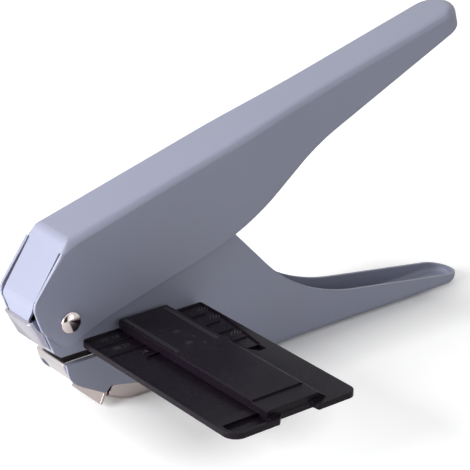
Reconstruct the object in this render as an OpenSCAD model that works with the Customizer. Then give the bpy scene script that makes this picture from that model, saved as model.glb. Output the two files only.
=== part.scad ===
// Hand-squeezed punch for disc-bound sheets: a pressed lever over a pressed frame,
// with a mushroom-shaped punch at the nose, a chip tray below it and a side guide.
// X runs from the nose to the grips, Z is up, and Y = 0 is the middle of the body.
// The origin is on the table, under the middle of the frame's flat sole.

/* [Pressed sheet] */
// Outside width of the lever over the nose
body_w = 23; // [21:0.5:26]
// Outside width of the lever at its grip
grip_w = 19.5; // [18.5:0.5:21]
// Thickness of the painted sheet
sheet = 1.2; // [1:0.1:1.5]
// Outside bend radius of the painted channels
bend_r = 3; // [2.5:0.25:3.5]
// Gap between the lever's side plate and the frame's wall
side_gap = 0.5; // [0.4:0.05:0.8]

/* [Lever] */
// Distance from the pivot to the tip of the lever
lever_reach = 200; // [180:1:220]
// Height of the lever's spine above the pivot, square to the spine
spine_h = 29; // [28:0.5:31]
// Drop of the side plates' straight edge below the pivot
skirt_drop = 6.6; // [6:0.2:7.4]
// Depth of the grip's walls near the tip
grip_depth = 9.2; // [8:0.4:12]
// Lift of the lever at rest above its closed place
open_angle = 15.5; // [12:0.5:16]
// Distance from the pivot to the bend between spine and front tab
fold_x = 8.5; // [8:0.25:9.5]
// Slope of the front tab's upper part
fold_slope = 41; // [40:0.5:42]
// Width of the slit beside the front tab
slit_w = 0.9; // [0.7:0.1:1.1]

/* [Frame] */
// Height of the pivot above the table
pivot_h = 39; // [38.5:0.25:40]
// Distance from the pivot back to the origin
pivot_back = 110; // [105:1:115]
// Distance from the origin to the tip of the lower grip
frame_reach = 83.5; // [78:0.5:90]
// Height of the frame's cheeks beside the punch
cheek_h = 60; // [58:0.5:61]
// Height of the lower grip's rim at the tip
rim_h = 3.8; // [3.2:0.2:5]
// Height of the lower edge of the throat in the frame's walls
throat_h = 21.7; // [21.5:0.1:22]
// Height of the throat slot in the frame's walls
throat_gap = 3.9; // [3.7:0.1:4.1]
// Distance from the pivot to the mouth of the lower jaw
mouth_x = 1.1; // [0.6:0.1:1.6]

/* [Punch] */
// Distance from the pivot to the axis of the punch
punch_x = 17.7; // [17:0.1:18.5]
// Rise of the drive pin above the pivot at rest
drive_rise = 13; // [12:0.25:14]
// Radius of the drive pin
drive_r = 2; // [1.8:0.1:2.2]
// Half width of the punch across its wide head
head_half = 3.1; // [2.8:0.1:3.4]
// Half length of the punch's wide head
head_len = 1.9; // [1.85:0.05:2.2]
// Half width of the punch's stem
stem_half = 1.5; // [1.2:0.1:1.7]
// Length of the stem from the punch's axis
stem_len = 5.2; // [4.8:0.1:5.4]
// Radius of the punch's round shank
shank_r = 1.8; // [1.6:0.05:1.8]
// Height of the hardened guide block
guide_block_h = 9.4; // [8.7:0.1:9.7]
// Height of the die block
die_block_h = 4; // [3.5:0.25:4.5]

/* [Spring] */
// Wire diameter of the return spring
wire_d = 0.9; // [0.7:0.05:1]
// Working coils of the return spring
coils = 5.5; // [4.5:0.5:6]

/* [Pivot rivet] */
// Radius of the rivet's shaft
rivet_r = 2.5; // [2:0.1:2.8]
// Radius of the rivet's domed heads
rivet_head_r = 4.1; // [3.8:0.1:4.6]
// Height of the rivet's domed heads
rivet_head_h = 2; // [1.6:0.1:2.4]

/* [Bright sheet] */
// Thickness of the bright jaw and die plates
bright_t = 1.2; // [1:0.05:1.3]
// Outside bend radius of the bright parts
bright_r = 1.8; // [1.6:0.1:2]
// Drop of the rolled lip below the die plate's top
lip_drop = 9.6; // [8.6:0.2:10.2]

/* [Chip tray] */
// Thickness of the chip tray's sheet
tray_t = 1; // [0.8:0.1:1.1]
// Radius of the tray's hinge pin
tray_pin_r = 1.2; // [1:0.1:1.4]

/* [Side guide] */
// Length of the side guide away from the body
guide_len = 87; // [80:1:110]
// Width of the side guide along the body
guide_w = 52.4; // [50:0.4:56]
// Height of the guide's underside above the table
guide_h = 29; // [28.8:0.1:29.6]
// Thickness of the guide's base plate
guide_t = 2.1; // [2:0.1:2.6]
// Rise of the bar above the base plate
bar_rise = 3.2; // [2.6:0.1:3.6]
// Width of the bar's flat top
bar_w = 20.7; // [19:0.1:22]
// Width of the bar's bevelled right side
bar_bevel = 4.3; // [3.5:0.1:5]
// Distance from one label cell to the next
cell_pitch = 8; // [7:0.25:9]
// Depth of the label fields below the rims
field_dip = 0.6; // [0.4:0.1:0.8]
// Width of the fence and of the tongue below the bar
fence_w = 22.6; // [21:0.2:24]

/* [Hidden] */

$fn = 48;
// Gap of a pin in its bore, and of parts that are pressed or riveted together
run_fit = 0.05;
fit = 0.02;
// Gap of flat parts that slide on each other, and of parts that only pass
slide_fit = 0.1;
pass_gap = 0.3;
// Overlap of solids that are joined into one piece, and overrun of cuts
join = 0.4;
cut = 1;
// Largest angle between the flats of a rounded outline, and the same for sweeping curves
arc_step = 6;
wide_step = 2;
wide_r = 30;

pivot_x = -pivot_back;
lever_half = body_w / 2;
lever_in = lever_half - sheet;
frame_half = lever_in - side_gap;
frame_in = frame_half - sheet;
lever_grip_half = grip_w / 2;
frame_grip_half = lever_grip_half - sheet - side_gap;
taper_from = 80;
taper_to = 130;

bright_half = frame_in - run_fit;
bright_in = bright_half - bright_t;
throat_top = throat_h + throat_gap;
die_under = throat_h + fit;
die_top = die_under + bright_t;
jaw_low = throat_top - bright_t;
jaw_floor = throat_top;

axis_x = pivot_x + punch_x;
stop_x = axis_x + stem_len - 0.6;
fence_right = stop_x + fence_w;
slot_end = fence_right + slide_fit;

drive_arm = norm([punch_x, drive_rise]);
drive_angle = atan2(drive_rise, punch_x);
stroke = drive_arm * (sin(drive_angle) - sin(drive_angle - open_angle));
head_top = pivot_h + drive_rise - drive_r - 0.2;
head_t = 2;
cup_t = 1;
washer_t = 0.5;
punch_tip = jaw_low + 0.2;
prism_top = jaw_floor + guide_block_h - 0.2;
spring_low = jaw_floor + guide_block_h + washer_t;
spring_high = head_top - head_t - cup_t;
spring_mid_r = shank_r + 0.4 + wire_d / 2;

tray_hinge = [pivot_x + 54, 3.2];
tray_half = frame_half - 0.2;

guide_far = -(lever_half + pass_gap);
guide_near = guide_far - guide_len;
guide_left = stop_x - 18.7;
guide_right = guide_left + guide_w;
guide_top = guide_h + guide_t;

// Outline tools: unit vector, corner arcs and sheet strips

function unit(v) = v / norm(v);

function turn(a) = a > 180 ? a - 360 : a < -180 ? a + 360 : a;

function corner(p, c, q, r) =
    r <= 0 ? [c] :
    let (
        u = unit(p - c),
        v = unit(q - c),
        half = acos(u * v) / 2,
        centre = c + unit(u + v) * r / sin(half),
        from = c + u * r / tan(half) - centre,
        to = c + v * r / tan(half) - centre,
        a0 = atan2(from[1], from[0]),
        sweep = turn(atan2(to[1], to[0]) - a0),
        n = max(1, ceil(abs(sweep) / (r > wide_r ? wide_step : arc_step)))
    )
    [for (i = [0:n]) centre + r * [cos(a0 + sweep * i / n), sin(a0 + sweep * i / n)]];

// Closed outline from corners given as x, y and corner radius
function outline(c) =
    let (n = len(c))
    [for (i = [0:n - 1])
        each corner([c[(i + n - 1) % n][0], c[(i + n - 1) % n][1]], [c[i][0], c[i][1]],
                    [c[(i + 1) % n][0], c[(i + 1) % n][1]], c[i][2])];

// Open path from corners given as x, y and corner radius
function path(c) =
    let (n = len(c))
    [for (i = [0:n - 1])
        each (i == 0 || i == n - 1 ? [[c[i][0], c[i][1]]] :
              corner([c[i - 1][0], c[i - 1][1]], [c[i][0], c[i][1]], [c[i + 1][0], c[i + 1][1]], c[i][2]))];

function left_of(d) = [-d[1], d[0]] / norm(d);

// Mitred offset vectors, pointing to the left of an open path
function mitres(p) =
    let (n = len(p))
    [for (i = [0:n - 1])
        let (
            a = left_of(i == 0 ? p[1] - p[0] : p[i] - p[i - 1]),
            b = left_of(i == n - 1 ? p[n - 1] - p[n - 2] : p[i + 1] - p[i])
        )
        (a + b) / (1 + a * b)];

// Strip of sheet of thickness t to the left of a path
function strip(p, t) =
    let (m = mitres(p), n = len(p))
    concat(p, [for (i = [n - 1:-1:0]) p[i] + t * m[i]]);

// Smooth change from 0 to 1 between two places
function ease(x, a, b) = let (k = max(0, min(1, (x - a) / (b - a)))) k * k * (3 - 2 * k);

// Right half of a channel's sheet section, as distance from the middle and depth below the web
function half_section(h, r, t, depth) =
    let (n = 4, outer = [for (i = [0:n]) [h - r + r * sin(90 * i / n), r - r * cos(90 * i / n)]],
         inner = [for (i = [n:-1:0]) [h - r + (r - t) * sin(90 * i / n), r - (r - t) * cos(90 * i / n)]])
    concat([[0, 0]], outer, [[h, depth], [h - t, depth]], inner, [[0, t]]);

// Whole section of a channel, one closed ring: its outer side, then its inner side back again
function channel_section(h, r, t, depth) =
    let (s = half_section(h, r, t, depth), k = len(s) / 2)
    concat(
        [for (i = [k - 1:-1:1]) [-s[i][0], s[i][1]]], [for (i = [1:k - 1]) s[i]],
        [for (i = [k:2 * k - 2]) s[i]], [for (i = [2 * k - 2:-1:k]) [-s[i][0], s[i][1]]]
    );

// Bent channel along a path of the web's outer face in the XZ plane, the walls to its left.
// Half widths and outside bend radii are given for each point of the path.
module bent_channel(p, halves, radii, t, depth) {
    m = mitres(p);
    rings = [for (i = [0:len(p) - 1])
        [for (s = channel_section(halves[i], radii[i], t, depth))
            [p[i][0] + m[i][0] * s[1], s[0], p[i][1] + m[i][1] * s[1]]]];
    n = len(rings[0]);
    last = (len(rings) - 1) * n;
    sides = [for (j = [0:n:last - n], i = [0:n - 1])
        each [[j + i, j + n + i, j + n + (i + 1) % n], [j + i, j + n + (i + 1) % n, j + (i + 1) % n]]];
    near_cap = [for (i = [0:n / 2 - 2]) [i, i + 1, n - 2 - i, n - 1 - i]];
    far_cap = [for (i = [0:n / 2 - 2]) [last + i + 1, last + i, last + n - 1 - i, last + n - 2 - i]];
    polyhedron(
        points = [for (ring = rings) each ring],
        faces = concat(sides, near_cap, far_cap),
        convexity = 6
    );
}

// Half-round end of a channel, open below its web
module channel_end(h, r, t, depth) {
    rotate([0, 0, -90])
        rotate_extrude(angle = 180, $fn = 64)
            polygon([for (s = half_section(h, r, t, depth)) [s[0], -s[1]]]);
}

// The same value at every point of a path
function level(p, v) = [for (q = p) v];

// Outline in the XZ plane made solid between two places in Y
module plate(points, from, to) {
    translate([0, to, 0])
        rotate([90, 0, 0])
            linear_extrude(to - from)
                polygon(points);
}

// The same plate on both sides of the body
module both_plates(points, from, to) {
    plate(points, from, to);
    plate(points, -to, -from);
}

// Round bar across the body
module cross_bar(x, z, r, from, to) {
    translate([x, to, z])
        rotate([90, 0, 0])
            cylinder(r = r, h = to - from);
}

module box(low, high) {
    translate(low)
        cube(high - low);
}

// Mushroom outline of the punch, its hole and its die, around the punch's axis
function mushroom(gap) = outline([
    [-head_len - gap, -head_half - gap, 1],
    [head_len + gap, -head_half - gap, 1],
    [head_len + gap, -stem_half - gap, 0],
    [stem_len + gap, -stem_half - gap, 0],
    [stem_len + gap, stem_half + gap, 0],
    [head_len + gap, stem_half + gap, 0],
    [head_len + gap, head_half + gap, 1],
    [-head_len - gap, head_half + gap, 1]
]);

module mushroom_bar(low, high, gap = 0) {
    translate([axis_x, 0, low])
        linear_extrude(high - low)
            polygon(mushroom(gap));
}

// Puts a lever part, drawn closed about the pivot, in its place at rest
module raised() {
    translate([pivot_x, 0, pivot_h])
        rotate([0, -open_angle, 0])
            children();
}

// Lever: spine, slanted cap, side plates and front tab

fold = [fold_x, spine_h];
fold_dir = [-cos(fold_slope), -sin(fold_slope)];
fold_in = [sin(fold_slope), -cos(fold_slope)];
cap_len = 5;
cap_end = fold + fold_dir * cap_len;
cap_end_r = sheet + 0.1;
cap_depth = bend_r + 3;
fold_r = 6;
cap_back = fold_x + cap_depth * tan(fold_slope / 2);
tab_top = cap_len - join;
tab_knee = fold + fold_dir * (spine_h - 12.1) / sin(fold_slope);
tab_foot = tab_knee + [-1.3, -6.7];
tab_half = lever_in - slit_w;
grip_edge = spine_h - grip_depth;
grip_slope = 0.158;
rise_slope = 0.37;
tip_x = lever_reach - lever_grip_half;

// Corner where the steep part of the lower edge meets the grip's edge
grip_corner_x = lever_reach * 0.5885;
grip_corner_z = grip_edge - grip_slope * (lever_reach - 10 - grip_corner_x);
rise_corner_x = grip_corner_x - (grip_corner_z + skirt_drop) / rise_slope;

lever_edge = [
    [lever_reach + 5, spine_h + fit, 0],
    [lever_reach + 5, grip_edge + grip_slope * 15, 0],
    [grip_corner_x, grip_corner_z, 100],
    [rise_corner_x, -skirt_drop, 110],
    [14, -skirt_drop, 10],
    [1, -skirt_drop - 1.7, 6],
    [-5, -skirt_drop - 1.7, 5],
    [-11.2, 1.5, 14],
    [-11.7, 13, 6],
    [cap_end[0], cap_end[1] + fit, 0],
    [fold_x, spine_h + fit, fold_r]
];

module lever_channel() {
    steps = 8;
    stations = concat(
        [tip_x],
        [for (i = [0:steps]) taper_to - (taper_to - taper_from) * i / steps],
        [cap_back]
    );
    line = [for (u = stations) [u, spine_h]];
    bent_channel(
        line,
        [for (u = stations) lever_half - (lever_half - lever_grip_half) * ease(u, taper_from, taper_to)],
        level(line, bend_r), sheet, spine_h + 10
    );
    translate([tip_x, 0, spine_h])
        channel_end(lever_grip_half, bend_r, sheet, spine_h);
}

// Folded top of the nose, whose side bends grow sharper towards the tab
module lever_cap() {
    line = [[cap_back + join, spine_h], fold, cap_end];
    bent_channel(line, level(line, lever_half), [bend_r, bend_r, cap_end_r], sheet, cap_depth);
}

// Side plates in front of the channel, standing a little proud of the tab
module lever_cheeks() {
    inner_line = fold + fold_in * (bend_r + 0.5);
    end_line = cap_end - fold_dir * 0.01;
    intersection() {
        both_plates(outline(lever_edge), lever_in, lever_half);
        union() {
            plate([
                [cap_back + join, -20],
                [cap_back + join, spine_h - bend_r - 0.5],
                inner_line,
                inner_line + fold_dir * 40,
                [-40, -20]
            ], -body_w, body_w);
            plate([
                end_line - fold_in * 5,
                end_line + fold_in * 30,
                end_line + fold_in * 30 + fold_dir * 60,
                end_line - fold_in * 5 + fold_dir * 60
            ], -body_w, body_w);
        }
    }
}

module lever_tab() {
    tab_path = path([
        [fold[0] + fold_dir[0] * tab_top, fold[1] + fold_dir[1] * tab_top, 0],
        [tab_knee[0], tab_knee[1], 6],
        [tab_foot[0], tab_foot[1], 0]
    ]);
    foot = tab_foot[1];
    intersection() {
        plate(strip(tab_path, sheet), -tab_half, tab_half);
        translate([-40, 0, 0])
            rotate([90, 0, 90])
                linear_extrude(80)
                    polygon(outline([
                        [-6.3, foot - 1, 0], [6.3, foot - 1, 0], [6.3, foot + 1, 1.5],
                        [tab_half, foot + 5, 3], [tab_half, spine_h + 5, 0],
                        [-tab_half, spine_h + 5, 0], [-tab_half, foot + 5, 3], [-6.3, foot + 1, 1.5]
                    ]));
    }
}

module lever_shell() {
    color([0.47, 0.48, 0.58])
        raised()
            difference() {
                union() {
                    intersection() {
                        union() {
                            lever_channel();
                            lever_cap();
                        }
                        plate(outline(lever_edge), -body_w, body_w);
                    }
                    lever_cheeks();
                    lever_tab();
                }
                cross_bar(0, 0, rivet_r + run_fit, -body_w, body_w);
            }
}

// Bracket under the spine that carries the drive pin

bracket_out = bright_in - pass_gap;
bracket_t = 1.2;
bracket_front = 9;
bracket_rear = 11;
pin_u = drive_arm * cos(drive_angle - open_angle);
pin_w = drive_arm * sin(drive_angle - open_angle);
bracket_top = spine_h - sheet;

module drive_bracket() {
    leg = outline([
        [pin_u - bracket_front, bracket_top, 0],
        [pin_u + bracket_rear, bracket_top, 0],
        [pin_u + bracket_rear, bracket_top - 4, 4],
        [pin_u + drive_r + 1.6, pin_w - drive_r - 1.4, 3],
        [pin_u - drive_r - 1.6, pin_w - drive_r - 1.4, 3],
        [pin_u - bracket_front, bracket_top - 6, 4]
    ]);
    color([0.55, 0.56, 0.58])
        raised()
            difference() {
                union() {
                    both_plates(leg, bracket_out - bracket_t, bracket_out);
                    box([pin_u - bracket_front, -bracket_out, bracket_top - bracket_t],
                        [pin_u + bracket_rear, bracket_out, bracket_top]);
                }
                cross_bar(pin_u, pin_w, drive_r + fit, -body_w, body_w);
            }
}

module drive_pin() {
    color([0.7, 0.71, 0.73])
        raised()
            cross_bar(pin_u, pin_w, drive_r, -bracket_out, bracket_out);
}

// Frame: sole and grip channel, cheeks, throat and lower lobe

rim_slope = 0.155;
rise_line = 1.06;
sole_x = -50;
hip = [-3.1, rim_h + rim_slope * (frame_reach + 3.1)];
shoulder_x = hip[0] - (cheek_h - hip[1]) / rise_line;
lobe_x = pivot_x - mouth_x;
lobe_r = 2.2;

frame_edge = [
    [frame_reach + 5, -5, 0],
    [frame_reach + 5, rim_h - rim_slope * 5, 0],
    [hip[0], hip[1], 80],
    [shoulder_x, cheek_h, 12],
    [pivot_x + 13, cheek_h, 15],
    [pivot_x - 9.8, pivot_h + 5, 8],
    [pivot_x - 9.5, pivot_h - 2.2, 4],
    [pivot_x - 5.8, throat_top + 2, 2],
    [pivot_x - 3.3, throat_top, 0],
    [lobe_x, throat_h, lobe_r],
    [lobe_x + 1.4, throat_h - 7.3, 9],
    [lobe_x + 6.9, throat_h - 10.7, 10],
    [lobe_x + 16, throat_h - 15.8, 0.8],
    [lobe_x + 18.5, throat_h - 13.4, 1.2],
    [sole_x - 2, 0, 6],
    [sole_x, 0, 0],
    [sole_x + 2, -5, 0]
];

module frame_channel() {
    steps = 8;
    from = pivot_x + taper_from - 5;
    to = pivot_x + taper_to - 15;
    tip = frame_reach - frame_grip_half;
    stations = concat([sole_x], [for (i = [0:steps]) from + (to - from) * i / steps], [tip]);
    line = [for (x = stations) [x, 0]];
    bent_channel(
        line,
        [for (x = stations) frame_half - (frame_half - frame_grip_half) * ease(x, from, to)],
        level(line, bend_r), sheet, cheek_h + 2
    );
    translate([tip, 0, 0])
        mirror([0, 0, 1])
            channel_end(frame_grip_half, bend_r, sheet, cheek_h);
}

module rivet_places() {
    for (side = [-1, 1], place = [[axis_x + 20.3, jaw_floor + 4.2], [axis_x + 16.3, throat_h - 3.3]])
        translate([place[0], side * frame_half, place[1]])
            rotate([side * 90, 0, 0])
                children();
}

module base_frame() {
    color([0.45, 0.46, 0.55])
        difference() {
            intersection() {
                union() {
                    frame_channel();
                    both_plates([
                        [lobe_x - 20, 0], [sole_x + join, 0],
                        [sole_x + join, cheek_h + 2], [lobe_x - 20, cheek_h + 2]
                    ], frame_in, frame_half);
                }
                plate(outline(frame_edge), -body_w, body_w);
            }
            box([pivot_x - 30, -body_w, throat_h], [slot_end, body_w, throat_top]);
            cross_bar(pivot_x, pivot_h, rivet_r + fit, -body_w, body_w);
            cross_bar(tray_hinge[0], tray_hinge[1], tray_pin_r + fit, -body_w, body_w);
            rivet_places()
                translate([0, 0, -cut])
                    cylinder(r = 1.4 + fit, h = sheet + 2 * cut);
        }
}

// Bright upper jaw: shield at the nose, floor over the throat and inner cheeks

shield_top = [pivot_x - 14.9, pivot_h + 1.6];
shield_foot = [pivot_x - 10.2, throat_top + 5.6];
jaw_nose = [pivot_x - 2.1, jaw_low];
jaw_back = slot_end - 1;

module upper_jaw() {
    jaw_line = [shield_top, shield_foot, jaw_nose, [jaw_back, jaw_low]];
    cheek = outline([
        [shield_top[0] + 1, shield_top[1] - 0.6, 0],
        [shield_top[0] + 5.4, shield_top[1] + 0.9, 3],
        [pivot_x - 6.5, pivot_h + 8, 5],
        [pivot_x + 6, pivot_h + 8, 5],
        [pivot_x + 12, pivot_h - 1, 8],
        [jaw_back, pivot_h - 3, 3],
        [jaw_back, throat_top + 2, 0],
        [jaw_nose[0] + 0.6, throat_top + 2, 0],
        [shield_foot[0] + 1, shield_foot[1] + 1.2, 0]
    ]);
    color([0.78, 0.76, 0.76])
        difference() {
            union() {
                bent_channel(jaw_line, level(jaw_line, bright_half), level(jaw_line, bright_r),
                             bright_t, bright_r + 3);
                both_plates(cheek, bright_in, bright_half);
            }
            mushroom_bar(jaw_low - cut, jaw_floor + cut, pass_gap);
            cross_bar(pivot_x, pivot_h, rivet_r + fit, -body_w, body_w);
            rivet_places()
                cylinder(r = 1.4 + fit, h = 5);
        }
}

block_half = bright_in - 0.8;
block_front = 8.7;
block_rear = 8.3;

module punch_guide() {
    color([0.5, 0.51, 0.53])
        difference() {
            box([axis_x - block_front, -block_half, jaw_floor], [axis_x + block_rear, block_half, jaw_floor + guide_block_h]);
            mushroom_bar(jaw_floor - cut, jaw_floor + guide_block_h + cut, run_fit);
        }
}

// Bright lower jaw: die plate that lies on the lobes' edges, with folded cheeks between the
// lobes and a front lip rolled down in front of them

module die_plate() {
    lip_x = lobe_x - 0.9;
    front = lobe_x + 0.4;
    low = throat_h - 6.2;
    lip_path = path([
        [lip_x + 5, die_top, 0], [lip_x, die_top, 1.7], [lip_x, die_top - 3.4, 5],
        [lip_x + 4.4, die_top - lip_drop, 0]
    ]);
    color([0.82, 0.81, 0.82])
        difference() {
            union() {
                plate(strip(lip_path, bright_t), -bright_half, bright_half);
                translate([front, 0, 0])
                    rotate([90, 0, 90])
                        linear_extrude(jaw_back - front)
                            polygon(outline([
                                [-frame_half, die_under, 0], [frame_half, die_under, 0],
                                [frame_half, die_top, 0.6], [-frame_half, die_top, 0.6]
                            ]));
                both_plates(outline([
                    [front + 3, die_under + 0.5, 0], [jaw_back - 0.5, die_under + 0.5, 0],
                    [jaw_back - 0.5, low, 2], [front + 6, low, 2], [front + 3, low + 3, 2]
                ]), bright_in, bright_half);
            }
            mushroom_bar(die_under - cut, die_top + cut, 0.2);
            screw_places()
                cylinder(r = screw_r + fit, h = 10);
            rivet_places()
                cylinder(r = 1.4 + fit, h = 5);
        }
}

screw_r = 1.25;
block_low = die_under - die_block_h;

module screw_places() {
    for (side = [-1, 1])
        translate([axis_x - 6, side * 3.6, block_low])
            children();
}

module die_block() {
    color([0.42, 0.43, 0.45])
        difference() {
            box([axis_x - block_front, -block_half, block_low], [axis_x + block_rear, block_half, die_under]);
            mushroom_bar(block_low - cut, die_under + cut, run_fit);
            screw_places()
                translate([0, 0, -cut])
                    cylinder(r = screw_r + run_fit, h = 10);
        }
}

module die_screws() {
    color([0.65, 0.66, 0.68])
        screw_places() {
            cylinder(r = screw_r, h = die_top - block_low - 0.2);
            translate([0, 0, -1.5])
                cylinder(r = 2.2, h = 1.5);
        }
}

module frame_rivets() {
    inner = frame_half - bright_in + 0.8;
    color([0.7, 0.7, 0.72])
        rivet_places() {
            cylinder(r = 1.4, h = inner);
            translate([0, 0, frame_half - bright_in + fit])
                cylinder(r = 2.3, h = 0.8);
        }
}

// Pivot: rivet with two domed heads, washers and spacer

module dome(r, h) {
    ball = (r * r + h * h) / (2 * h);
    intersection() {
        translate([0, 0, h - ball])
            sphere(r = ball, $fn = 72);
        cylinder(r = r, h = h + 1);
    }
}

stub_r = 1.5;
stub_h = 1.2;
head_seat = lever_half + slide_fit;

module pivot_pin() {
    color([0.8, 0.78, 0.76])
        translate([pivot_x, 0, pivot_h])
            rotate([90, 0, 0]) {
                translate([0, 0, -head_seat])
                    cylinder(r = rivet_r, h = 2 * head_seat + 0.3);
                translate([0, 0, -head_seat - stub_h])
                    cylinder(r = stub_r, h = stub_h + 1);
                translate([0, 0, head_seat])
                    dome(rivet_head_r, rivet_head_h);
            }
}

module pivot_cap() {
    color([0.8, 0.78, 0.76])
        translate([pivot_x, head_seat, pivot_h])
            rotate([-90, 0, 0])
                difference() {
                    dome(rivet_head_r, rivet_head_h);
                    translate([0, 0, -cut])
                        cylinder(r = stub_r + fit, h = cut + stub_h + fit);
                }
}

module pivot_washers() {
    color([0.85, 0.85, 0.82])
        for (side = [-1, 1])
            translate([pivot_x, side * frame_half, pivot_h])
                rotate([-side * 90, 0, 0])
                    difference() {
                        cylinder(r = 6, h = side_gap - slide_fit);
                        translate([0, 0, -cut])
                            cylinder(r = rivet_r + run_fit, h = 3);
                    }
}

module pivot_spacer() {
    color([0.6, 0.61, 0.63])
        difference() {
            cross_bar(pivot_x, pivot_h, rivet_r + 1.5, -bright_in + run_fit, bright_in - run_fit);
            cross_bar(pivot_x, pivot_h, rivet_r + run_fit, -body_w, body_w);
        }
}

// Punch, its spring cup, spring and washer

module punch_pin() {
    color([0.62, 0.63, 0.66]) {
        mushroom_bar(punch_tip, prism_top);
        translate([axis_x, 0, prism_top - join])
            cylinder(r = shank_r, h = head_top - head_t - prism_top + 2 * join);
        translate([axis_x, 0, head_top - head_t])
            cylinder(r = 4.8, h = head_t);
    }
}

module spring_cup() {
    skirt_r = spring_mid_r + wire_d / 2 + 0.2;
    color([0.72, 0.72, 0.7])
        translate([axis_x, 0, spring_high])
            difference() {
                translate([0, 0, -2.5])
                    cylinder(r = skirt_r + 0.8, h = 2.5 + cup_t);
                translate([0, 0, -2.5 - cut])
                    cylinder(r = skirt_r, h = 2.5 + cut);
                translate([0, 0, -cut])
                    cylinder(r = shank_r + run_fit, h = cup_t + 2 * cut);
            }
}

module spring_washer() {
    color([0.7, 0.71, 0.72])
        translate([axis_x, 0, spring_low - washer_t])
            difference() {
                cylinder(r = 5.6, h = washer_t);
                translate([0, 0, -cut])
                    cylinder(r = shank_r + 0.2, h = washer_t + 2 * cut);
            }
}

module return_spring() {
    sides = 8;
    per_turn = 16;
    n = round(coils * per_turn);
    rise = spring_high - spring_low - wire_d;
    pts = [for (j = [0:n], i = [0:sides - 1])
        let (a = 360 * j / per_turn, b = 360 * i / sides, r = spring_mid_r + wire_d / 2 * cos(b))
        [r * cos(a), r * sin(a), wire_d / 2 + rise * j / n + wire_d / 2 * sin(b)]];
    skin = [for (j = [0:n - 1], i = [0:sides - 1])
        [j * sides + i, (j + 1) * sides + i, (j + 1) * sides + (i + 1) % sides, j * sides + (i + 1) % sides]];
    color([0.68, 0.69, 0.7])
        translate([axis_x, 0, spring_low])
            polyhedron(
                points = pts,
                faces = concat(skin, [[for (i = [0:sides - 1]) i]],
                               [[for (i = [sides - 1:-1:0]) n * sides + i]]),
                convexity = 10
            );
}

// Chip tray under the nose, hinged at its rear

module chip_tray() {
    front = pivot_x + 16;
    floor_line = path([[front, 3.7, 0], [front + 8, 0, 14], [tray_hinge[0] - 2, 0, 0]]);
    lip_line = [[front - 0.4, 8], [front - 3.3, 1.8]];
    color([0.8, 0.77, 0.75])
        difference() {
            union() {
                intersection() {
                    bent_channel(floor_line, level(floor_line, tray_half), level(floor_line, bright_r),
                                 tray_t, 11);
                    plate(outline([
                        [front - 1, -1, 0],
                        [sole_x - 4, -1, 0],
                        [sole_x - 4, 0.2, 0],
                        [front + 1.8, 8.1, 1.2],
                        [front, 3.4, 0]
                    ]), -body_w, body_w);
                }
                intersection() {
                    plate(strip(lip_line, tray_t), -tray_half + 0.4, tray_half - 0.4);
                    union() {
                        box([front - 5, -body_w, 0], [front + 5, body_w, 5.9]);
                        box([front - 5, -frame_in + pass_gap, 5], [front + 5, frame_in - pass_gap, 9]);
                    }
                }
                plate(strip([[front - 1.2, 4.3], [front + 1, 3.35]], tray_t), -7, 7);
                both_plates(outline([
                    [tray_hinge[0] - 14, 0.3, 0],
                    [tray_hinge[0] - 2, 0.3, 0],
                    [tray_hinge[0] + 2.6, 1.4, 2],
                    [tray_hinge[0] + 2.6, 5.8, 2],
                    [tray_hinge[0] - 3, 5.8, 2]
                ]), frame_in - pass_gap - tray_t, frame_in - pass_gap);
            }
            cross_bar(tray_hinge[0], tray_hinge[1], tray_pin_r + run_fit, -body_w, body_w);
        }
}

module tray_pin() {
    color([0.6, 0.61, 0.63])
        cross_bar(tray_hinge[0], tray_hinge[1], tray_pin_r, -frame_half, frame_half);
}

// Side guide: base plate with sunken label fields, a raised bar with a bevelled right side,
// a fence below the bar and a tongue in the throat

tongue_low = die_top + slide_fit;
tongue_top = jaw_low - slide_fit;
guide_rim = 0.6;
bar_left = stop_x - 2.4;
bar_top = guide_top + bar_rise;
bar_foot = bar_left + bar_w + bar_bevel;
bar_end = guide_near + 11;
field_floor = guide_top - field_dip;
left_near = guide_far - 3 * cell_pitch;
right_near = guide_far - 5 * cell_pitch;

// Raised bar from one place in Y to another, with a narrow bevel on its left edge
module guide_bar(near, far, top) {
    edge = 0.4;
    plate([
        [bar_left, guide_top - join],
        [bar_left, top - edge],
        [bar_left + edge, top],
        [bar_foot - bar_bevel * (top - guide_top) / bar_rise, top],
        [bar_foot, guide_top],
        [bar_foot, guide_top - join]
    ], near, far);
}

// Sunken area of the plate between corners given as x, y and corner radius
module field(corners, floor) {
    translate([0, 0, floor])
        linear_extrude(guide_t + cut)
            polygon(outline(corners));
}

// Ridges between the label cells of a field, from the body towards the near end
module cell_ridges(left, right, count) {
    for (i = [1:count])
        box([left, guide_far - cell_pitch * i - 0.3, field_floor - 0.3],
            [right, guide_far - cell_pitch * i + 0.3, guide_top - 0.1]);
}

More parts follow.
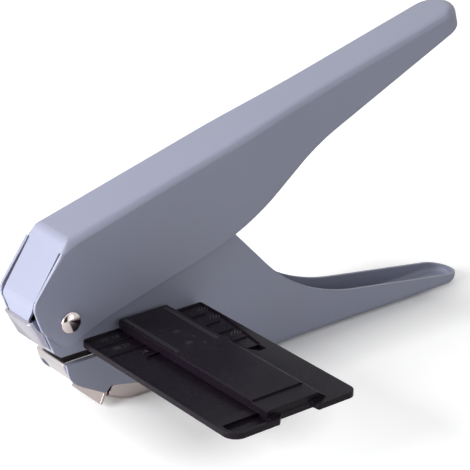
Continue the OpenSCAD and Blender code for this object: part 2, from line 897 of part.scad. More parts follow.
module guide_plate() {
    shelf_left = guide_left + guide_rim;
    pit_near = bar_end - 3.2;
    notch = guide_near + 2.7;
    margin = 4.2;
    color([0.12, 0.12, 0.13]) {
        difference() {
            translate([0, 0, guide_h])
                linear_extrude(guide_t)
                    polygon(outline([
                        [guide_left, guide_far, 2.6], [guide_left, guide_near, 5],
                        [stop_x + 0.5, guide_near, 0.5], [stop_x + 3.2, notch, 0.5],
                        [stop_x + 16.5, notch, 0.3], [stop_x + 16.9, guide_near, 0.5],
                        [guide_right, guide_near, 3.5], [guide_right, guide_far, 0.8]
                    ]));
            // Left shelf between the rims and the ridge near its end
            field([
                [shelf_left, guide_far - guide_rim, 2.2], [shelf_left, bar_end + 1.3, 2.4],
                [bar_left + join, bar_end + 1.3, 0], [bar_left + join, guide_far - guide_rim, 0]
            ], field_floor);
            // Deeper pit beyond the ridge
            field([
                [shelf_left + 1, pit_near, 0.8], [shelf_left + 1, guide_near + 1.5, 3.6],
                [bar_left + join, guide_near + 1.5, 0], [bar_left + join, pit_near, 0]
            ], guide_h + 0.7);
            // Right hand label field, narrower towards its near end, and the pit that ends it
            field([
                [bar_foot, guide_far - guide_rim, 0], [bar_foot, right_near, 0],
                [guide_right - margin, right_near, 0], [guide_right - guide_rim, guide_far - 14, 4],
                [guide_right - guide_rim, guide_far - guide_rim, 0.5]
            ], field_floor);
            field([
                [bar_foot + 0.6, right_near - 0.3, 0], [bar_foot + 3, right_near - 4.4, 0],
                [guide_right - margin - 0.6, right_near - 4.4, 0],
                [guide_right - margin - 0.6, right_near - 0.3, 0]
            ], guide_h + 0.6);
        }
        guide_bar(bar_end, guide_far, bar_top);
        guide_bar(guide_near + 3, bar_end + join, bar_top - 0.6);
        cell_ridges(shelf_left - join, bar_left + join, 2);
        cell_ridges(bar_foot - join, guide_right - margin + join, 4);
        // Bright bar that ends the left labels
        box([guide_left + 11.2, left_near - 0.5, field_floor - 0.3],
            [bar_left + join, left_near + 0.5, guide_top + 0.3]);
        // Fence under the bar and the tongue that enters the throat
        difference() {
            box([stop_x, guide_near + 14, tongue_low], [fence_right, guide_far, guide_h + join]);
            box([stop_x + 1.8, guide_near + 16, tongue_low - cut],
                [fence_right - 1.8, guide_far - 2, guide_h - 1.2]);
        }
        box([stop_x + 0.9, guide_far - join, tongue_low], [fence_right, frame_half, tongue_top]);
    }
}

base_frame();
upper_jaw();
punch_guide();
die_plate();
die_block();
die_screws();
frame_rivets();
pivot_pin();
pivot_cap();
pivot_washers();
pivot_spacer();
spring_washer();
return_spring();
tray_pin();
lever_shell();
drive_bracket();
drive_pin();
punch_pin();
spring_cup();
chip_tray();
guide_plate();
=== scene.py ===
"""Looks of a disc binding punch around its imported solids: enamel, bright sheet, black guide and stage."""

import math

import bmesh
import bpy
from mathutils import Matrix, Vector


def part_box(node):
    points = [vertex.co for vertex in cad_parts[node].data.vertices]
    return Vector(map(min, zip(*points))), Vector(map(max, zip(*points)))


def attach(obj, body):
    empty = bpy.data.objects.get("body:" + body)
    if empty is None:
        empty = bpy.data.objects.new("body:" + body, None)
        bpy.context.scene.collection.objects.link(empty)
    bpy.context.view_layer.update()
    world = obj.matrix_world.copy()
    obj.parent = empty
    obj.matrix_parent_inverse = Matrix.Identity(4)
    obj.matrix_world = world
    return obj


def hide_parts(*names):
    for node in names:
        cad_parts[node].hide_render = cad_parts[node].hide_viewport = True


bl_info = {
    "name": "Disc binding punch",
    "version": (1, 0, 0),
    "blender": (4, 5, 0),
    "location": "View3D > Sidebar > Punch",
    "description": "Finishes, guide markings and stage of a hand-squeezed disc binding punch",
    "category": "Object",
}

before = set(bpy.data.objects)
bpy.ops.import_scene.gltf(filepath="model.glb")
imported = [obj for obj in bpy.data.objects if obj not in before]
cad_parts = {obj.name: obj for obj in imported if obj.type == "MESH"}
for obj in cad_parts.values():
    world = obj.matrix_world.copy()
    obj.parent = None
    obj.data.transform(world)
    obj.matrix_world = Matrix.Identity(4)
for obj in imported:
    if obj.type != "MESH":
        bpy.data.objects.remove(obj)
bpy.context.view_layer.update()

# Rounding of the cut edges of painted sheet and moulding, of plated sheet and of the thin tray
PAINT_EDGE = 0.00035
PLATE_EDGE = 0.0002
TRAY_EDGE = 0.00025
# Distance under which points of a copied mesh are one
MERGE = 0.000001
# Largest angle between faces that are shaded as one bend
BEND_ANGLE = math.radians(30.0)


# Shader helpers


def shaded(colour, factor):
    return tuple(factor * c for c in colour)


def tinted(colour, tint):
    return tuple(c * k for c, k in zip(colour, tint))


class Value:
    """An output in a material's nodes. Sums with it add Math nodes."""

    def __init__(self, finish, socket):
        self.finish = finish
        self.socket = socket

    def __add__(self, other):
        return self.finish.sum_of("ADD", self, other)

    def __sub__(self, other):
        return self.finish.sum_of("SUBTRACT", self, other)

    def __mul__(self, other):
        return self.finish.sum_of("MULTIPLY", self, other)

    def __truediv__(self, other):
        return self.finish.sum_of("DIVIDE", self, other)

    def __radd__(self, other):
        return self.finish.sum_of("ADD", other, self)

    def __rsub__(self, other):
        return self.finish.sum_of("SUBTRACT", other, self)

    def __rmul__(self, other):
        return self.finish.sum_of("MULTIPLY", other, self)

    def clamped(self):
        return self.finish.node("ShaderNodeClamp", {}, {"Value": self})


class Finish:
    """A material built from nodes."""

    def __init__(self, name, kind="materials"):
        self.material = getattr(bpy.data, kind).new(name)
        self.material.use_nodes = True
        self.tree = self.material.node_tree
        self.tree.nodes.clear()

    def feed(self, socket, value):
        if isinstance(value, Value):
            self.tree.links.new(value.socket, socket)
        elif hasattr(socket.default_value, "__len__") and len(value) == 3 and len(socket.default_value) == 4:
            socket.default_value = (*value, 1.0)
        else:
            socket.default_value = value

    def node(self, kind, settings, values, output=0):
        made = self.tree.nodes.new(kind)
        for key, value in settings.items():
            setattr(made, key, value)
        for key, value in values.items():
            self.feed(made.inputs[key], value)
        return Value(self, made.outputs[output]) if made.outputs else None

    def sum_of(self, operation, first, second):
        return self.node("ShaderNodeMath", {"operation": operation}, {0: first, 1: second})

    def place(self):
        return self.node("ShaderNodeTexCoord", {}, {}, output="Object")

    def noise(self, place, scale, detail=2.0):
        return self.node("ShaderNodeTexNoise", {}, {"Vector": place, "Scale": scale, "Detail": detail})

    def stretched(self, place, scale, detail):
        """Noise drawn out along the axes whose scale is low."""
        drawn = self.node("ShaderNodeMapping", {"vector_type": "POINT"}, {"Vector": place, "Scale": scale})
        return self.noise(drawn, 1.0, detail)

    def between(self, factor, first, second):
        """Mixes two colours."""
        return self.node("ShaderNodeMix", {"data_type": "RGBA"}, {0: factor, 6: first, 7: second}, output=2)

    def bump(self, height, distance, strength, normal=None):
        values = {"Height": height, "Distance": distance, "Strength": strength}
        if normal is not None:
            values["Normal"] = normal
        return self.node("ShaderNodeBump", {}, values)

    def soft_edges(self, radius):
        """Normals that turn smoothly round the sheet's cut edges."""
        return self.node("ShaderNodeBevel", {"samples": 6}, {"Radius": radius})

    def surface(self, values):
        shader = self.node("ShaderNodeBsdfPrincipled", {}, values)
        self.node("ShaderNodeOutputMaterial", {}, {"Surface": shader})
        return self.material


def enamel(name, colour):
    """Smooth stoved enamel on sheet, with a faint ripple and slow changes of gloss."""
    paint = Finish(name)
    place = paint.place()
    slow = paint.noise(place, 18.0)
    ripple = paint.noise(place, 420.0, 1.0)
    specks = paint.noise(place, 2600.0, 1.0)
    return paint.surface({
        "Base Color": paint.between(slow, shaded(colour, 0.96), shaded(colour, 1.04)),
        "Roughness": 0.4 + 0.1 * (specks - 0.5) + 0.06 * (slow - 0.5),
        "Metallic": 0.0,
        "Specular IOR Level": 0.55,
        "Coat Weight": 0.18,
        "Coat Roughness": 0.25,
        "Normal": paint.bump(ripple, 0.00002, 0.3, paint.soft_edges(PAINT_EDGE)),
    })


def plated_sheet(plate, place, haze, colour, roughness, edge):
    """Plating over faint drawing lines along X, duller where the haze is."""
    lines = plate.stretched(place, (60.0, 2400.0, 2400.0), 3.0)
    return plate.surface({
        "Base Color": colour,
        "Metallic": 1.0,
        "Roughness": roughness + 0.06 * (haze - 0.5) + 0.03 * (lines - 0.5),
        "Normal": plate.bump(lines, 0.00001, 0.25, plate.soft_edges(edge)),
    })


def bright_plate(name, colour, roughness, edge=PLATE_EDGE):
    """Bright plating with thin hazy patches."""
    plate = Finish(name)
    place = plate.place()
    haze = plate.noise(place, 90.0)
    patched = plate.between(haze, shaded(colour, 0.9), colour)
    return plated_sheet(plate, place, haze, patched, roughness, edge)


def jaw_plate(name, colour, roughness, floor_height):
    """Bright shield whose floor, down in the throat, is darkened with painted shade and made rougher."""
    fade = 0.0006
    plate = Finish(name)
    place = plate.place()
    height = plate.node("ShaderNodeSeparateXYZ", {}, {"Vector": place}, output="Z")
    streaks = plate.stretched(place, (500.0, 500.0, 40.0), 2.0)
    haze = plate.noise(place, 90.0)
    # painted shade: below the jaw floor's height the plating turns dark and rougher, where the throat lies
    # in shade
    throat_painted_shade = ((floor_height - height) / fade).clamped()
    plate_above_throat = plate.between(haze + 0.5 * (streaks - 0.5), shaded(colour, 0.82), colour)
    throat_shaded_plate = plate.between(throat_painted_shade, plate_above_throat, shaded(colour, 0.14))
    return plated_sheet(plate, place, haze, throat_shaded_plate, roughness + 0.2 * throat_painted_shade, PLATE_EDGE)


def polished(name, colour):
    """Polished plating of the rivet's heads, with a few fine rubs."""
    plate = Finish(name)
    place = plate.place()
    rubs = plate.stretched(place, (900.0, 300.0, 2600.0), 2.0)
    return plate.surface({
        "Base Color": plate.between(rubs, shaded(colour, 0.94), colour),
        "Metallic": 1.0,
        "Roughness": 0.07 + 0.03 * rubs,
    })


def ground_steel(name, colour, roughness):
    """Ground or drawn steel with fine cross lines."""
    steel = Finish(name)
    place = steel.place()
    lines = steel.stretched(place, (3200.0, 200.0, 3200.0), 2.0)
    stain = steel.noise(place, 140.0, 3.0)
    return steel.surface({
        "Base Color": steel.between(stain, shaded(colour, 0.8), colour),
        "Metallic": 1.0,
        "Roughness": roughness + 0.12 * (lines - 0.5),
        "Normal": steel.bump(lines, 0.00002, 0.3),
    })


def black_moulding(name, colour):
    """Black plastic with a fine spark-eroded grain and rubbed, glossier patches."""
    plastic = Finish(name)
    place = plastic.place()
    grain = plastic.noise(place, 3000.0)
    rubbed = plastic.noise(place, 60.0, 3.0)
    return plastic.surface({
        "Base Color": plastic.between(rubbed, colour, shaded(colour, 1.5)),
        "Roughness": 0.27 + 0.14 * (rubbed - 0.5) + 0.08 * (grain - 0.5),
        "Metallic": 0.0,
        "Specular IOR Level": 0.14,
        "Normal": plastic.bump(grain, 0.00002, 0.35, plastic.soft_edges(PAINT_EDGE)),
    })


def pale_plastic(name, colour):
    """Plain slippery plastic of the inner washers."""
    plastic = Finish(name)
    cloud = plastic.noise(plastic.place(), 300.0)
    return plastic.surface({
        "Base Color": plastic.between(cloud, shaded(colour, 0.92), colour),
        "Roughness": 0.45 + 0.1 * (cloud - 0.5),
    })


# Modelling helpers


def clear_selection():
    bpy.ops.object.select_all(action="DESELECT")


def edit():
    """Opens the active object's mesh with all of it selected."""
    bpy.ops.object.mode_set(mode="EDIT")
    bpy.ops.mesh.select_all(action="SELECT")


def leave_edit():
    """Turns all normals outward and closes the mesh."""
    bpy.ops.mesh.select_all(action="SELECT")
    bpy.ops.mesh.normals_make_consistent(inside=False)
    bpy.ops.object.mode_set(mode="OBJECT")


def pick_points(test):
    """Selects the points of the mesh being edited whose place passes the test."""
    bpy.ops.mesh.select_mode(type="VERT")
    bpy.ops.mesh.select_all(action="DESELECT")
    mesh = bpy.context.edit_object.data
    shape = bmesh.from_edit_mesh(mesh)
    found = 0
    for point in shape.verts:
        if test(point.co):
            point.select_set(True)
            found += 1
    shape.select_flush_mode()
    bmesh.update_edit_mesh(mesh)
    if not found:
        raise RuntimeError("no point to shape")


def hand_over(name, body, material, nodes=()):
    """Names the new piece, gives it its material, hangs it on its body and hides the imported pieces it
    takes the place of.
    """
    piece = bpy.context.object
    piece.name = name
    piece.data.name = name
    piece.data.materials.clear()
    piece.data.materials.append(material)
    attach(piece, body)
    if nodes:
        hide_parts(*nodes)
    return piece


def copied_node(node):
    """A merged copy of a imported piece's mesh, ready for a closer shape."""
    clear_selection()
    piece = bpy.data.objects.new(node + "_copy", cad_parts[node].data.copy())
    bpy.context.scene.collection.objects.link(piece)
    bpy.context.view_layer.objects.active = piece
    piece.select_set(True)
    edit()
    bpy.ops.mesh.remove_doubles(threshold=MERGE)
    return piece


def trim_sides(half):
    """Cuts the piece being edited off beyond two planes, at the same distance from the middle."""
    for side in (-1.0, 1.0):
        bpy.ops.mesh.select_all(action="SELECT")
        bpy.ops.mesh.bisect(
            plane_co=(0.0, side * half, 0.0), plane_no=(0.0, side, 0.0), use_fill=True, clear_outer=True)


def apply_modifiers():
    """Makes the active object's modifiers part of its mesh."""
    for name in [modifier.name for modifier in bpy.context.object.modifiers]:
        bpy.ops.object.modifier_apply(modifier=name)


# Shapes


def rivet_end(stations, middle):
    """Round piece on the pivot's axis, drawn out ring by ring through places in Y and radii."""
    sides = 64
    clear_selection()
    place, radius = stations[0]
    bpy.ops.mesh.primitive_circle_add(
        vertices=sides, radius=radius, fill_type="NGON",
        location=(middle[0], place, middle[1]), rotation=(math.radians(90.0), 0.0, 0.0))
    bpy.ops.object.transform_apply(location=True, rotation=True, scale=True)
    edit()
    for (from_y, from_r), (to_y, to_r) in zip(stations, stations[1:]):
        bpy.ops.mesh.extrude_region_move(TRANSFORM_OT_translate={"value": (0.0, to_y - from_y, 0.0)})
        bpy.ops.transform.resize(
            value=(to_r / from_r, 1.0, to_r / from_r), center_override=(middle[0], to_y, middle[1]))
    leave_edit()
    bpy.ops.object.shade_smooth_by_angle(angle=math.radians(40.0))


def dome_stations(seat, radius, height, side):
    """Rings of a domed head from its seat outwards."""
    rim = 0.00015
    undercut = 0.0001
    steps = 15
    rings = [(side * seat, radius - undercut), (side * (seat + rim), radius)]
    for step in range(1, steps):
        angle = math.radians(90.0 * step / steps)
        rings.append((side * (seat + rim + (height - rim) * math.sin(angle)), radius * math.cos(angle)))
    return rings


def tick(size, place, turn=0.0):
    """Low mark with sloping sides, half sunk in the guide."""
    slope = (0.92, 0.7, 1.0)
    clear_selection()
    bpy.ops.mesh.primitive_cube_add(size=1.0, location=place, rotation=(0.0, 0.0, turn), scale=size)
    bpy.ops.object.transform_apply(location=True, rotation=True, scale=True)
    edit()
    top = place[2] + 0.4 * size[2]
    pick_points(lambda point: point.z > top)
    bpy.ops.transform.resize(value=slope, center_override=place)
    leave_edit()
    return bpy.context.object


def repeated(count, step):
    """Repeats the active mark along a line, each with its own mesh."""
    row = bpy.context.object.modifiers.new("row", "ARRAY")
    row.count = count
    row.use_relative_offset = False
    row.use_constant_offset = True
    row.constant_offset_displace = step
    apply_modifiers()
    return bpy.context.object


def number(text, place, height):
    """Plain raised number, read from the near end."""
    rise = 0.00005
    clear_selection()
    bpy.ops.object.text_add(location=(0.0, 0.0, 0.0))
    letters = bpy.context.object
    letters.data.body = text
    letters.data.size = height
    letters.data.extrude = rise
    letters.data.resolution_u = 3
    letters.data.align_x = "CENTER"
    letters.data.align_y = "CENTER"
    bpy.ops.object.convert(target="MESH")
    letters = bpy.context.object
    letters.location = place
    bpy.ops.object.transform_apply(location=True, rotation=True, scale=True)
    edit()
    bpy.ops.mesh.remove_doubles(threshold=MERGE)
    leave_edit()
    return letters


def joined(pieces):
    """Joins the pieces into the first of them, which stays active."""
    clear_selection()
    for piece in pieces:
        piece.select_set(True)
    bpy.context.view_layer.objects.active = pieces[0]
    bpy.ops.object.join()


# Settings


class PunchLooks(bpy.types.PropertyGroup):
    """Colours and light levels that a user would change."""

    enamel: bpy.props.FloatVectorProperty(
        name="Enamel", description="Colour of the lever and the frame",
        size=3, subtype="COLOR", min=0.0, max=1.0, default=(0.262, 0.275, 0.368))
    bright: bpy.props.FloatVectorProperty(
        name="Bright sheet", description="Tint of the plated jaws and tray",
        size=3, subtype="COLOR", min=0.0, max=1.0, default=(0.7, 0.65, 0.65))
    rivet: bpy.props.FloatVectorProperty(
        name="Rivet", description="Tint of the pivot rivet",
        size=3, subtype="COLOR", min=0.0, max=1.0, default=(0.74, 0.65, 0.64))
    steel: bpy.props.FloatVectorProperty(
        name="Steel", description="Colour of the hidden steel pieces",
        size=3, subtype="COLOR", min=0.0, max=1.0, default=(0.5, 0.51, 0.53))
    moulding: bpy.props.FloatVectorProperty(
        name="Guide", description="Colour of the black side guide",
        size=3, subtype="COLOR", min=0.0, max=1.0, default=(0.0066, 0.0043, 0.0074))
    key_power: bpy.props.FloatProperty(
        name="Key lamp", description="Power of the large lamp on the nose side",
        unit="POWER", min=0.0, default=16.5)
    top_power: bpy.props.FloatProperty(
        name="Top lamp", description="Power of the large lamp overhead",
        unit="POWER", min=0.0, default=2.6)
    side_power: bpy.props.FloatProperty(
        name="Side lamp", description="Power of the large weak lamp on the guide's side",
        unit="POWER", min=0.0, default=3.2)
    fill_level: bpy.props.FloatProperty(
        name="Fill", description="Level of the even light from all round",
        min=0.0, default=0.25)


def looks():
    return bpy.context.scene.punch_looks


def finish_nodes(names, material):
    """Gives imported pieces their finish."""
    for name in names:
        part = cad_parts[name]
        if not part.material_slots:
            raise RuntimeError(f"{name} has no material slot")
        for place in part.material_slots:
            place.material = material


# Operators


class PUNCH_OT_enamel(bpy.types.Operator):
    """Gives the lever and the frame their enamel"""

    bl_idname = "punch.enamel"
    bl_label = "Enamel lever and frame"

    def execute(self, context):
        finish_nodes(["lever_shell", "base_frame"], enamel("grey_blue_enamel", tuple(looks().enamel)))
        return {"FINISHED"}


class PUNCH_OT_lever(bpy.types.Operator):
    """Shapes the lever, whose front tab stands level with its side plates and shows both slits"""

    bl_idname = "punch.lever"
    bl_label = "Shape the lever"

    def execute(self, context):
        half_width = 0.00941
        knee_front = -0.1205
        knee_top = 0.05
        knee_foot = 0.0478
        copied_node("lever_shell")
        for top, push in ((knee_top, 0.00035), (knee_foot, 0.0001)):
            pick_points(
                lambda point: abs(point.y) < half_width and point.x < knee_front and point.z < top)
            bpy.ops.transform.translate(value=(-push, 0.0, 0.0))
        leave_edit()
        bpy.ops.object.shade_smooth_by_angle(angle=BEND_ANGLE)
        even = bpy.context.object.modifiers.new("even", "WEIGHTED_NORMAL")
        even.keep_sharp = True
        apply_modifiers()
        hand_over("lever_folded", "lever",
                  bpy.data.materials["grey_blue_enamel"], ("lever_shell",))
        return {"FINISHED"}


class PUNCH_OT_bright(bpy.types.Operator):
    """Plates the chip tray in a warmer and darker copy of the jaws' tint, a painted shade for the shadowed
    floor it reflects
    """

    bl_idname = "punch.bright"
    bl_label = "Plate the chip tray"

    def execute(self, context):
        # painted shade: the tray's plating is darkened and warmed to stand for the shadow it reflects
        shaded_warm_plating = tinted(looks().bright, (0.86, 0.8, 0.78))
        finish_nodes(["chip_tray"], bright_plate("tray_plate", shaded_warm_plating, 0.14, TRAY_EDGE))
        return {"FINISHED"}


class PUNCH_OT_upper_jaw(bpy.types.Operator):
    """Shapes the upper jaw, with a narrow gap between its shield and the frame's walls"""

    bl_idname = "punch.upper_jaw"
    bl_label = "Shape the upper jaw"

    def execute(self, context):
        half_width = 0.0082
        # height below which the shield's plating gets painted shade
        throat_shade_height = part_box("upper_jaw")[0][2] + 0.002
        copied_node("upper_jaw")
        trim_sides(half_width)
        leave_edit()
        bpy.ops.object.shade_smooth_by_angle(angle=BEND_ANGLE)
        cool = tinted(looks().bright, (0.94, 0.98, 1.12))
        hand_over("upper_jaw_shield", "frame",
                  jaw_plate("shield_plate", cool, 0.2, throat_shade_height), ("upper_jaw",))
        return {"FINISHED"}


class PUNCH_OT_rivet(bpy.types.Operator):
    """Turns the rivet's two smooth domed ends"""

    bl_idname = "punch.rivet"
    bl_label = "Turn the pivot rivet"

    def execute(self, context):
        far_low, far_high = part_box("pivot_cap")
        near_low, near_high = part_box("pivot_pin")
        seat = far_low[1]
        height = far_high[1] - seat
        radius = (far_high[0] - far_low[0]) / 2.0
        middle = ((far_low[0] + far_high[0]) / 2.0, (far_low[2] + far_high[2]) / 2.0)
        shank = 0.0025
        cap_gap = 0.0001
        plate = polished("rivet_plate", tuple(looks().rivet))
        rivet_end(
            [(seat - cap_gap, shank), (-seat, shank), *dome_stations(seat, radius, height, -1.0)], middle)
        hand_over("rivet_near_end", "frame", plate, ("pivot_pin",))
        rivet_end(dome_stations(seat, radius, height, 1.0), middle)
        hand_over("rivet_far_end", "frame", plate, ("pivot_cap",))
        return {"FINISHED"}


class PUNCH_OT_die_plate(bpy.types.Operator):
    """Shapes the die plate, which lies between the frame's walls and rolls down at its front"""

    bl_idname = "punch.die_plate"
    bl_label = "Shape the die plate"

    def execute(self, context):
        half_width = 0.0085
        thickness = 0.0012
        thinner = 0.68
        lip_length = 0.006
        lip_shift = 0.0003
        low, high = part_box("die_plate")
        under = high[2] - thickness
        copied_node("die_plate")
        trim_sides(half_width)
        pick_points(lambda point: point.z > under + 0.00003)
        bpy.ops.transform.resize(value=(1.0, 1.0, thinner), center_override=(0.0, 0.0, under))
        pick_points(lambda point: point.x < low[0] + lip_length and point.z < under - 0.0004)
        bpy.ops.transform.translate(value=(lip_shift, 0.0, 0.0))
        leave_edit()
        bpy.ops.object.shade_smooth_by_angle(angle=BEND_ANGLE)
        hand_over("die_plate_rolled", "frame",
                  bright_plate("die_plate_plate", shaded(looks().bright, 1.1), 0.13), ("die_plate",))
        return {"FINISHED"}


class PUNCH_OT_steel(bpy.types.Operator):
    """Finishes the steel pieces and washers inside the nose"""

    bl_idname = "punch.steel"
    bl_label = "Finish the inner pieces"

    def execute(self, context):
        tone = tuple(looks().steel)
        finish_nodes(["punch_pin", "punch_guide", "die_block", "drive_pin"],
                     ground_steel("tool_steel", shaded(tone, 0.75), 0.25))
        finish_nodes(["die_screws", "frame_rivets", "pivot_spacer", "spring_washer", "tray_pin",
                      "drive_bracket", "spring_cup"], ground_steel("zinc_steel", tone, 0.34))
        finish_nodes(["return_spring"], ground_steel("spring_wire", shaded(tone, 0.85), 0.22))
        finish_nodes(["pivot_washers"], pale_plastic("washer_plastic", (0.72, 0.71, 0.68)))
        return {"FINISHED"}


class PUNCH_OT_guide(bpy.types.Operator):
    """Finishes the black side guide"""

    bl_idname = "punch.guide"
    bl_label = "Finish the side guide"

    def execute(self, context):
        finish_nodes(["guide_plate"], black_moulding("black_moulding", tuple(looks().moulding)))
        return {"FINISHED"}


class PUNCH_OT_guide_marks(bpy.types.Operator):
    """Adds the scale ticks, plain numbers and stroke signs on the side guide"""

    bl_idname = "punch.guide_marks"
    bl_label = "Mark the side guide"

    def execute(self, context):
        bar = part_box("guide_plate")[1][2]
        shelf = bar - 0.0038
        first_tick = -0.0136
        tick_pitch = 0.001
        # The marks are lighter than the guide's black: a painted highlight on their raised relief
        pale = black_moulding("guide_marks", tuple(0.042 + c for c in looks().moulding))
        rows = []
        for x in (-0.0883, -0.0712):
            tick((0.0017, 0.0004, 0.0003), (x, first_tick, bar))
            rows.append(repeated(32, (0.0, -tick_pitch, 0.0)))
        joined(rows)
        hand_over("guide_ticks", "side_guide", pale)
        stroke_turn = math.radians(52.0)
        signs = []
        for x, y in ((-0.0585, -0.0236), (-0.0602, -0.0384), (-0.0578, -0.0158)):
            tick((0.0032, 0.0005, 0.0003), (x, y, shelf), stroke_turn)
            signs.append(repeated(4, (0.0012, -0.0002, 0.0)))
        joined(signs)
        hand_over("guide_strokes", "side_guide", pale)
        words = [
            ("10", (-0.0799, -0.0320), 0.0028, bar), ("20", (-0.0812, -0.0415), 0.0028, bar),
            ("1", (-0.0768, -0.0385), 0.0024, bar), ("2", (-0.0766, -0.0447), 0.0024, bar),
            ("12", (-0.0990, -0.0160), 0.0030, shelf), ("14", (-0.0945, -0.0160), 0.0030, shelf),
            ("20 22", (-0.0972, -0.0238), 0.0030, shelf), ("26", (-0.0930, -0.0315), 0.0030, shelf),
            ("5", (-0.0622, -0.0175), 0.0028, shelf), ("6", (-0.0630, -0.0243), 0.0028, shelf),
            ("7", (-0.0636, -0.0322), 0.0028, shelf), ("8", (-0.0640, -0.0402), 0.0028, shelf),
        ]
        joined([number(text, (x, y, z), height) for text, (x, y), height, z in words])
        hand_over("guide_numbers", "side_guide", pale)
        return {"FINISHED"}


class PUNCH_OT_stage(bpy.types.Operator):
    """Adds the floor, lamps, world and camera"""

    bl_idname = "punch.stage"
    bl_label = "Set the stage"

    def execute(self, context):
        scene = context.scene
        under_tool = -0.0003
        clear_selection()
        bpy.ops.mesh.primitive_plane_add(size=6.0, location=(0.0, 0.0, under_tool))
        floor = context.object
        floor.name = "floor"
        bpy.ops.object.transform_apply(location=True, rotation=True, scale=True)
        floor.data.materials.append(floor_paper())
        lamp("key_lamp", (-0.95, 0.1, 0.3), (-0.08, 0.0, 0.06), 0.6, looks().key_power)
        lamp("top_lamp", (0.1, 0.2, 1.2), (0.0, 0.0, 0.05), 1.2, looks().top_power)
        lamp("side_lamp", (0.2, -1.2, 0.5), (0.0, 0.0, 0.05), 1.0, looks().side_power)
        world_light(looks().fill_level)
        camera()
        scene.view_settings.view_transform = "Standard"
        return {"FINISHED"}


def shade_below(paper, place, middle, half):
    """Mask of a painted shadow: falls from 1 under a box-shaped footprint to 0 at the fade's distance from
    it.
    """
    fade = 0.03
    beyond = []
    for axis, centre, size in zip("XY", middle, half):
        along = paper.node("ShaderNodeSeparateXYZ", {}, {"Vector": place}, output=axis)
        offset = paper.sum_of("ABSOLUTE", along - centre, 0.0)
        beyond.append(paper.sum_of("MAXIMUM", offset - size, 0.0))
    reach = paper.sum_of("SQRT", beyond[0] * beyond[0] + beyond[1] * beyond[1], 0.0)
    return (1.0 - reach / fade).clamped()


def floor_paper():
    """White paper that stays white to the camera, takes the shadow, and has a painted shadow close to the
    tool.
    """
    paper = Finish("white_paper")
    seen = paper.node("ShaderNodeLightPath", {}, {}, output="Is Camera Ray")
    place = paper.place()
    reach = paper.node("ShaderNodeVectorMath", {"operation": "LENGTH"}, {0: place}, output="Value")
    near, over = 0.15, 0.6
    away = ((reach - near) / over).clamped()
    painted_shadow_body = shade_below(paper, place, (-0.01, 0.0), (0.07, 0.01))
    painted_shadow_guide = shade_below(paper, place, (-0.068, -0.026), (0.012, 0.02))
    below = paper.sum_of("MAXIMUM", painted_shadow_body, painted_shadow_guide)
    # painted shadow: the glow the camera sees is lowered under and around the body and the guide
    level = 0.42 + 0.45 * away - 0.38 * below
    body = paper.node("ShaderNodeBsdfDiffuse", {}, {"Color": (0.9, 0.9, 0.9)})
    glow = paper.node("ShaderNodeEmission", {}, {"Color": (1.0, 1.0, 1.0), "Strength": level * seen})
    both = paper.node("ShaderNodeAddShader", {}, {0: body, 1: glow})
    paper.node("ShaderNodeOutputMaterial", {}, {"Surface": both})
    return paper.material


def lamp(name, place, target, size, power):
    """Square lamp that faces a point."""
    bpy.ops.object.light_add(type="AREA", location=place)
    made = bpy.context.object
    made.name = name
    made.data.shape = "SQUARE"
    made.data.size = size
    made.data.energy = power
    made.rotation_euler = (Vector(target) - Vector(place)).to_track_quat("-Z", "Y").to_euler()


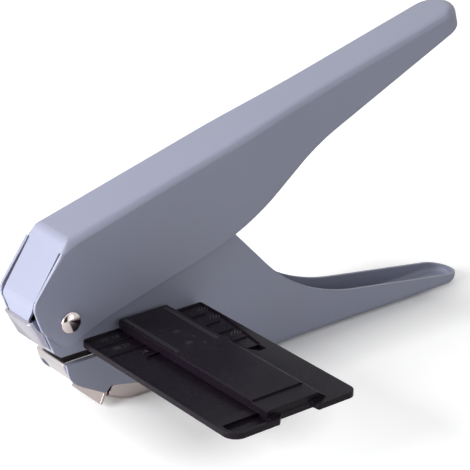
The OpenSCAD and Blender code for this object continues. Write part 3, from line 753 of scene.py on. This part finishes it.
def world_light(level):
    """White background for the camera, an even fill, and a studio with a dark end for the gloss."""
    studio = Finish("studio", "worlds")
    bpy.context.scene.world = studio.material
    seen = studio.node("ShaderNodeLightPath", {}, {}, output="Is Camera Ray")
    through = studio.node("ShaderNodeLightPath", {}, {}, output="Is Transmission Ray")
    gloss = studio.node("ShaderNodeLightPath", {}, {}, output="Is Glossy Ray")
    towards = studio.node("ShaderNodeTexCoord", {}, {}, output="Generated")
    dark_way = Vector((-0.30, -0.82, 0.36)).normalized()
    dark_rim, rim_width = 0.84, 0.06
    facing = studio.node(
        "ShaderNodeVectorMath", {"operation": "DOT_PRODUCT"}, {0: towards, 1: dark_way}, output="Value")
    dark = ((facing - dark_rim) / rim_width).clamped()
    shown = 0.85 - 0.8 * dark
    strength = level + (1.0 - level) * (seen + through) + (shown - level) * gloss
    light = studio.node("ShaderNodeBackground", {}, {"Color": (1.0, 1.0, 1.0), "Strength": strength})
    studio.node("ShaderNodeOutputWorld", {}, {"Surface": light})


def camera():
    """The photograph's viewpoint, worked out from the edges of the lever, frame and guide."""
    heading, below_level, roll = -37.77, 23.02, 0.11
    place = (-0.43138, -0.51915, 0.32612)
    turn = (
        Matrix.Rotation(math.radians(heading), 4, "Z")
        @ Matrix.Rotation(math.radians(90.0 - below_level), 4, "X")
        @ Matrix.Rotation(math.radians(roll), 4, "Z")
    )
    bpy.ops.object.camera_add(location=place, rotation=turn.to_euler())
    view = bpy.context.object
    view.name = "photo_camera"
    view.data.sensor_width = 36.0
    view.data.lens = 146.6
    view.data.clip_start = 0.02
    view.data.dof.use_dof = False
    bpy.context.scene.camera = view


class PUNCH_PT_panel(bpy.types.Panel):
    bl_idname = "PUNCH_PT_panel"
    bl_label = "Disc binding punch"
    bl_space_type = "VIEW_3D"
    bl_region_type = "UI"
    bl_category = "Punch"

    def draw(self, context):
        for name in looks().__annotations__:
            self.layout.prop(looks(), name)
        for operator in OPERATORS:
            self.layout.operator(operator.bl_idname)


OPERATORS = (
    PUNCH_OT_enamel, PUNCH_OT_lever, PUNCH_OT_bright, PUNCH_OT_upper_jaw, PUNCH_OT_die_plate, PUNCH_OT_rivet,
    PUNCH_OT_steel, PUNCH_OT_guide, PUNCH_OT_guide_marks, PUNCH_OT_stage,
)


def register():
    for kind in (PunchLooks, *OPERATORS, PUNCH_PT_panel):
        bpy.utils.register_class(kind)
    bpy.types.Scene.punch_looks = bpy.props.PointerProperty(type=PunchLooks)


def unregister():
    del bpy.types.Scene.punch_looks
    for kind in (PUNCH_PT_panel, *reversed(OPERATORS), PunchLooks):
        bpy.utils.unregister_class(kind)


def main():
    register()
    bpy.ops.punch.enamel()
    bpy.ops.punch.lever()
    bpy.ops.punch.bright()
    bpy.ops.punch.upper_jaw()
    bpy.ops.punch.die_plate()
    bpy.ops.punch.rivet()
    bpy.ops.punch.steel()
    bpy.ops.punch.guide()
    bpy.ops.punch.guide_marks()
    bpy.ops.punch.stage()


if __name__ == "__main__":
    main()
